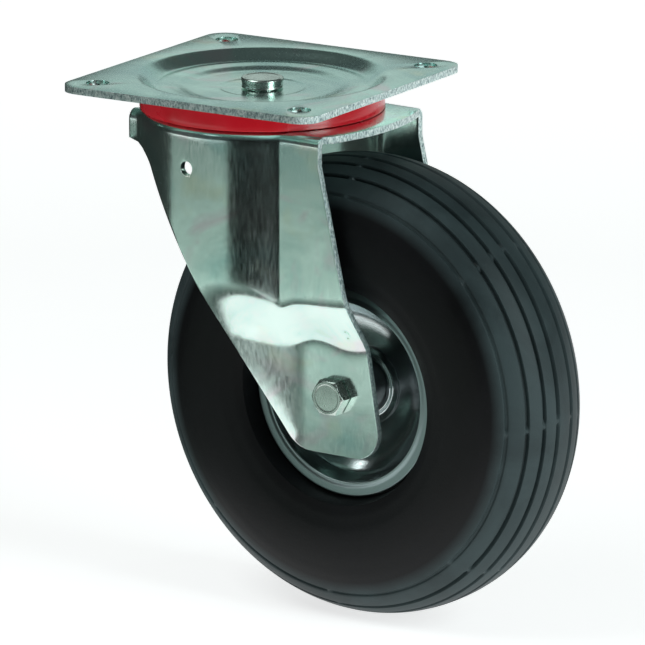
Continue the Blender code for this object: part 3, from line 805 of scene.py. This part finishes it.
def valve_place(z):
    """Where the valve comes out of the far rim half, in that half's own axes."""
    return Vector((VALVE_R * math.cos(VALVE_ANGLE), -VALVE_R * math.sin(VALVE_ANGLE), z))


def make_rims():
    near = turned("rim_half_near", rim_outline(), 256, WHEEL, rounding=6)
    dress(near, "wheel", "rim_steel", rim_zinc, "rim_near")
    far = turned("rim_half_far", rim_outline(), 256, WHEEL @ TURN_ROUND, rounding=6)
    cut(far, VALVE_CAP_R, valve_place(0.008), Vector((0, 0, 1)), 0.02)
    far.data.shade_smooth()
    far.data.set_sharp_from_angle(angle=math.radians(30))
    dress(far, "wheel", "rim_steel", rim_zinc, "rim_far")


def make_hub():
    """Hub tube, and the lip seal at each end of it."""
    half = HUB_HALF
    outline = [(HUB_BORE_R, half, 0.0004), (HUB_R, half, 0.0006), (HUB_R, -half, 0.0006),
               (HUB_BORE_R, -half, 0.0004)]
    barrel = turned("hub_barrel", outline, 128, WHEEL)
    dress(barrel, "wheel", "rim_steel", hub_steel, "hub_tube")
    seal = [(0.0103, half - 0.0020, 0), (0.0122, half - 0.0020, 0), (0.0122, half, 0.0004),
            (0.0116, half + 0.0003, 0.0004), (0.0110, half - 0.0004, 0.0004), (0.0103, half, 0.0003)]
    for side, matrix in (("near", WHEEL), ("far", WHEEL @ TURN_ROUND)):
        ring = turned(f"hub_lip_{side}", seal, 96, matrix)
        dress(ring, "wheel", "black_plastic", black_cap, f"hub_seal_{side}")


GROOVES = tuple(math.radians(a) for a in (-54, -36.5, -21, -7, 7, 21, 36.5, 54))
GROOVE_WIDTH = 0.0019
GROOVE_DEPTH = 0.0024
BRIDGE_ROWS = 8
BRIDGE_WIDTH = 0.0028


def groove_turn(turn):
    """Depth of the tread's grooves at an angle round the tyre's section."""
    depth = 0.0
    for place in GROOVES:
        off = abs(turn - place) * TYRE_HALF
        share = 0.45 if abs(place) > math.radians(50) else 1.0
        wall = ease((GROOVE_WIDTH * 0.75 - off) / (GROOVE_WIDTH * 0.42))
        depth = max(depth, share * GROOVE_DEPTH * wall)
    return depth


def tyre_turns():
    """Angles round the tyre's section, packed closely at each groove."""
    end = math.radians(119)
    turns = [lerp(-end, end, i / 72) for i in range(73)]
    for place in GROOVES:
        turns += [place + side * GROOVE_WIDTH / TYRE_HALF * share for side in (-1, 1)
                  for share in (0.0, 0.16, 0.33, 0.5, 0.64, 0.8)]
    return sorted(set(turns), reverse=True)


TURNS = tyre_turns()


def tyre_section(angle):
    """The tyre's C-shaped section at an angle round the wheel."""
    bead = RIM_HALF - RIM_SHEET - 0.0012
    start = [(BEAD_R, bead - 0.009), (BEAD_R, bead - 0.001), (BEAD_R + 0.001, bead),
             (RIM_R + GAP, bead)]
    outer = []
    for turn in TURNS:
        c, s = math.cos(turn), math.sin(turn)
        depth = groove_turn(turn)
        lag = abs(math.degrees(turn)) / 60 * 0.05
        row = (angle + lag) * BRIDGE_ROWS / math.tau
        nearest = abs(row - round(row))
        arc_off = nearest * math.tau / BRIDGE_ROWS * TYRE_R
        depth *= 1 - 0.85 * ease((BRIDGE_WIDTH - arc_off) / (BRIDGE_WIDTH * 0.5))
        side_line = 0.0005 * hump(abs(turn), math.radians(72), 0.020)
        bead_line = 0.0006 * (hump(abs(turn), math.radians(111), 0.030)
                              - hump(abs(turn), math.radians(105), 0.030))
        swell = side_line + bead_line - depth
        h = (TYRE_HALF + swell) * math.copysign(abs(s) ** TYRE_SQUARE, s)
        r = TYRE_MIDDLE_R + (TYRE_R - TYRE_MIDDLE_R + swell) * math.copysign(abs(c) ** TYRE_SQUARE, c)
        outer.append((max(r, RIM_R + GAP), h))
    inner = []
    for i in range(24):
        turn = lerp(-0.62, 0.62, i / 23) * math.pi
        inner.append((0.087 + 0.0345 * math.cos(turn), 0.0330 * math.sin(turn)))
    return start + outer + [(r, -h) for r, h in reversed(start)] + inner


def make_tyre():
    tyre = lathe("ribbed_tyre", tyre_section, 480, WHEEL, True, 40)
    dress(tyre, "wheel", "tyre_rubber", tyre_black, "tyre")


def make_valve():
    """The valve's screw cap, with a round crown and small grip ridges."""
    seat = WHEEL @ TURN_ROUND @ Matrix.Translation(valve_place(0))
    low = VALVE_END + GAP
    high = low + VALVE_CAP_LENGTH
    ridges, ridge, crown = 24, 0.00035, 0.0010

    def section(angle):
        grip = VALVE_CAP_R - ridge * (0.5 + 0.5 * math.cos(angle * ridges))
        points = [(0, high)]
        for i in range(5):
            t = math.pi / 2 * i / 4
            points.append((grip - crown * (1 - math.sin(t)), high - crown * (1 - math.cos(t))))
        skirt = [(VALVE_CAP_R, low + 0.0012), (VALVE_CAP_R, low)]
        return points + [(grip, low + 0.0016)] + skirt + [(0, low)]

    cap = lathe("valve_dust_cap", section, 192, seat, False, 40)
    dress(cap, "wheel", "black_plastic", black_cap, "valve_cap")


# ---------------------------------------------------------------- carried-over nodes

def finish_nodes():
    """Materials for the CAD nodes that are shown as they are."""
    finishes = {
        "king_sleeve": bearing, "lower_race": zinc_fork, "king_nut": bolt_zinc,
        "upper_ball_row": bearing, "lower_ball_row": bearing, "axle_sleeve": bearing,
        "spacer_near": bearing, "spacer_far": bearing,
        "roller_cage_near": bearing, "roller_cage_far": bearing,
        "inner_tube": tube_black, "valve_stem": tube_black,
    }
    for name, material in finishes.items():
        obj = frame["nodes"][name]
        obj.data.materials.clear()
        obj.data.materials.append(material)
        obj.data.shade_smooth()
        obj.data.set_sharp_from_angle(angle=math.radians(35))


# ---------------------------------------------------------------- studio

MIDDLE = Vector((0.045, -0.010, -0.1345))
CAMERA_TARGET = Vector((0.0453, -0.0098, -0.1345))
CAMERA_AZIMUTH = 31.61
CAMERA_ELEVATION = 14.16
CAMERA_DISTANCE = 4.5
CAMERA_LENS = 451.4
FLOOR_HALF = 6.0
WORLD_COLOUR = (0.80, 0.90, 0.90, 1.0)     # what the object reflects where no card or light is
WORLD_STRENGTH = 0.08
CARD_TINT = Vector((0.80, 1.0, 0.92))


def bearing_to(azimuth, elevation=0.0):
    """A direction from the object. Azimuth 0 is in front of it, on the -Y side."""
    a, e = math.radians(azimuth), math.radians(elevation)
    return Vector((math.sin(a) * math.cos(e), -math.cos(a) * math.cos(e), math.sin(e)))


def area_light(name, azimuth, elevation, distance, width, height, power, colour):
    """A soft panel that faces the middle of the object and is out of the camera's sight."""
    light = bpy.data.lights.new(name, "AREA")
    light.shape = "RECTANGLE"
    light.size, light.size_y = width, height
    light.energy = power
    light.color = colour
    obj = bpy.data.objects.new(name, light)
    bpy.context.scene.collection.objects.link(obj)
    obj.location = MIDDLE + bearing_to(azimuth, elevation) * distance
    obj.rotation_euler = (MIDDLE - obj.location).to_track_quat("-Z", "Y").to_euler()
    obj.visible_camera = False


def card(name, matrix, width, height, low, high):
    """A card that only reflections see, glowing from `low` at its -Y edge to `high`: 0 is black."""
    bm = bmesh.new()
    bmesh.ops.create_grid(bm, x_segments=1, y_segments=1, size=0.5)
    bmesh.ops.scale(bm, verts=bm.verts, vec=(width, height, 1))
    obj = finish_piece(name, bm, matrix)
    obj.data.materials.append(card_paper(name + "_paper", height, low, high))
    for ray in ("visible_camera", "visible_shadow", "visible_diffuse"):
        setattr(obj, ray, False)


def standing_card(name, azimuth, distance, width, top, glow_foot, glow_top):
    foot = FLOOR_Z + 0.002
    place = MIDDLE + bearing_to(azimuth) * distance
    place.z = (foot + top) / 2
    turn = Matrix.Rotation(math.radians(azimuth), 4, "Z") @ Matrix.Rotation(math.pi / 2, 4, "X")
    card(name, Matrix.Translation(place) @ turn, width, top - foot, glow_foot, glow_top)


def lying_card(name, azimuth, near, far, width, glow_far, glow_near):
    place = MIDDLE + bearing_to(azimuth) * (near + far) / 2
    place.z = FLOOR_Z + 0.001
    turn = Matrix.Rotation(math.radians(azimuth), 4, "Z")
    card(name, Matrix.Translation(place) @ turn, width, far - near, glow_far, glow_near)


def card_paper(name, height, low, high):
    """Glow that runs evenly from one edge of a card to the other."""
    n = Nodes(name)
    n.shader.inputs["Emission Strength"].default_value = 1.0
    n.shader.inputs["Specular IOR Level"].default_value = 0.0
    up = n.remap(n.split()[1], -height / 2, height / 2, 0.0, 1.0)
    glow = n.ramp(up, (0.0, tuple(CARD_TINT * low)), (1.0, tuple(CARD_TINT * high)))
    shade = n.ramp(n.noise(2, 2, 0.5), (0.3, (0.004, 0.004, 0.004)), (0.7, (0.008, 0.008, 0.008)))
    return n.set(Base_Color=shade, Roughness=0.9, Emission_Color=glow)


def make_floor():
    bm = bmesh.new()
    bmesh.ops.create_grid(bm, x_segments=2, y_segments=2, size=FLOOR_HALF)
    floor = finish_piece("studio_floor", bm, Matrix.Translation((0, 0, FLOOR_Z - 0.0002)))
    floor.data.materials.append(studio_floor())


def make_world():
    """White behind the object, and nearly dark to everything that the object reflects."""
    world = bpy.data.worlds.new("studio")
    bpy.context.scene.world = world
    world.use_nodes = True
    tree = world.node_tree
    dim = tree.nodes["Background"]
    dim.inputs["Color"].default_value = WORLD_COLOUR
    dim.inputs["Strength"].default_value = WORLD_STRENGTH
    white = tree.nodes.new("ShaderNodeBackground")
    white.inputs["Color"].default_value = (1.0, 1.0, 1.0, 1.0)
    white.inputs["Strength"].default_value = 1.0
    path = tree.nodes.new("ShaderNodeLightPath")
    mix = tree.nodes.new("ShaderNodeMixShader")
    tree.links.new(path.outputs["Is Camera Ray"], mix.inputs["Fac"])
    tree.links.new(dim.outputs["Background"], mix.inputs[1])
    tree.links.new(white.outputs["Background"], mix.inputs[2])
    tree.links.new(mix.outputs["Shader"], tree.nodes["World Output"].inputs["Surface"])


def make_lights():
    area_light("left_panel", -42, 55, 1.7, 1.0, 0.8, 7, (0.94, 1.0, 0.99))
    area_light("back_panel", 205, 22, 1.8, 2.4, 0.7, 2.9, (0.86, 1.0, 0.96))
    area_light("right_panel", 84, 22, 1.6, 0.6, 1.2, 12, (0.90, 1.0, 1.0))
    standing_card("card_front", -32, 0.55, 0.72, FLOOR_Z + 0.20, 0.72, 0.08)
    standing_card("flag_right", 24, 0.56, 0.60, FLOOR_Z + 0.45, 0.0, 0.0)
    standing_card("flag_left", -95, 0.45, 0.62, FLOOR_Z + 0.50, 0.02, 0.02)
    lying_card("flag_near", -32, 0.22, 0.54, 0.80, 0.50, 0.04)
    lying_card("flag_side", -115, 0.13, 0.60, 0.60, 0.04, 0.30)


def make_camera():
    camera = bpy.data.cameras.new("photo_view")
    camera.lens = CAMERA_LENS
    camera.clip_end = 50
    view = bpy.data.objects.new("photo_view", camera)
    bpy.context.scene.collection.objects.link(view)
    back = bearing_to(CAMERA_AZIMUTH, CAMERA_ELEVATION)
    view.location = CAMERA_TARGET + back * CAMERA_DISTANCE
    view.rotation_euler = (-back).to_track_quat("-Z", "Y").to_euler()
    bpy.context.scene.camera = view
    bpy.context.scene.view_settings.view_transform = "Standard"


make_plate()
make_king_bolt()
make_fork()
make_seal()
make_axle()
make_rims()
make_hub()
make_tyre()
make_valve()
finish_nodes()
make_floor()
make_world()
make_lights()
make_camera()
